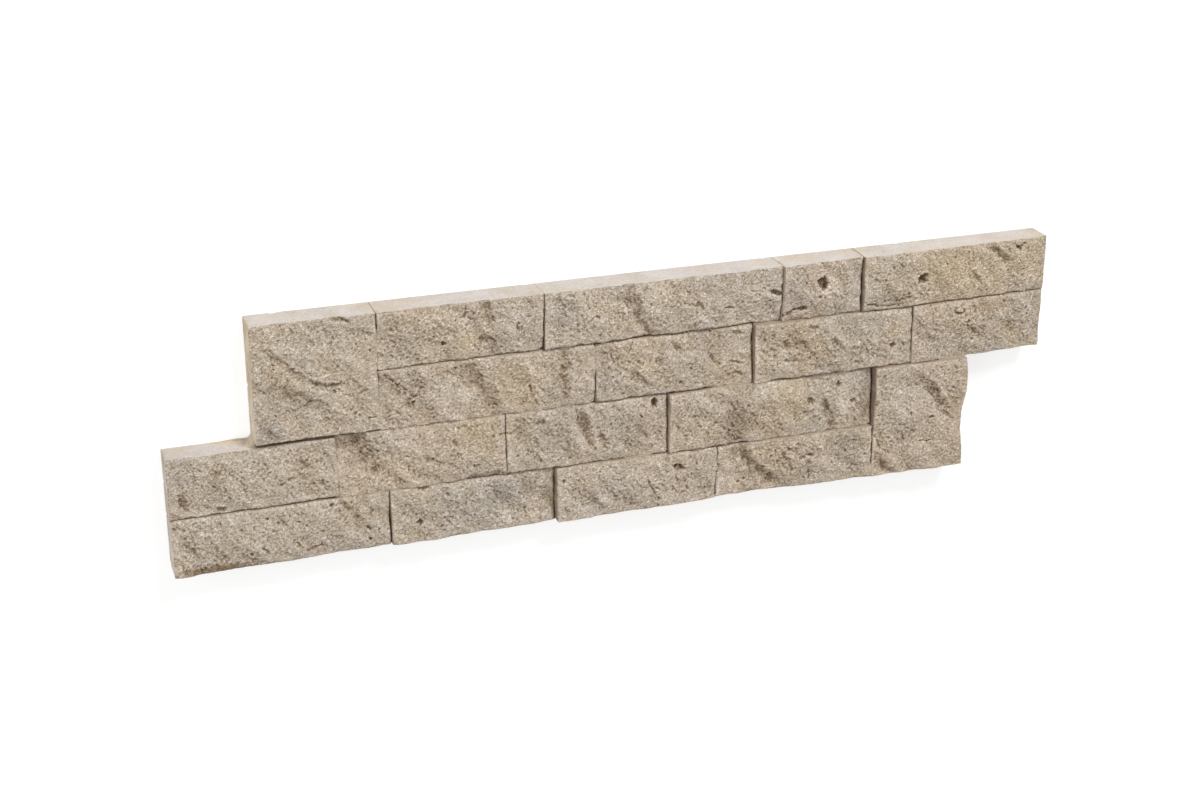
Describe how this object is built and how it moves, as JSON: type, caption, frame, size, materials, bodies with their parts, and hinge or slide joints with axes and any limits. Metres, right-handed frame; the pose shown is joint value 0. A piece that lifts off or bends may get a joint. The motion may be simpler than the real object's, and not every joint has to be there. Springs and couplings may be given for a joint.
{
  "type": "stone veneer panel",
  "caption": "Thin ledgestone wall cladding panel of split-face stones bonded edge to edge, sawn flat on the back, with ends stepped to interlock with the next panel.",
  "frame": {"origin": "centre of the sawn back, on the plane that meets the wall", "axes": "+X along the courses towards the upper courses' projecting end, +Y from the bottom course to the top course, +Z out of the wall through the split faces"},
  "size_m": [0.563, 0.15, 0.0233],
  "materials": {
    "split_stone": "split face, sawn back and edges",
    "cured_resin": "cured, slightly glossy"
  },
  "bodies": {
    "root": {"tall_stone_left": "split_stone", "top_stone_1": "split_stone", "top_stone_2": "split_stone", "top_stone_3": "split_stone", "top_stone_4": "split_stone", "upper_stone_1": "split_stone", "upper_stone_2": "split_stone", "upper_stone_3": "split_stone", "upper_stone_4": "split_stone", "lower_stone_1": "split_stone", "lower_stone_2": "split_stone", "lower_stone_3": "split_stone", "lower_stone_4": "split_stone", "tall_stone_right": "split_stone", "bottom_stone_1": "split_stone", "bottom_stone_2": "split_stone", "bottom_stone_3": "split_stone", "bottom_stone_4": "split_stone", "resin_joints": "cured_resin"}
  },
  "joints": []
}
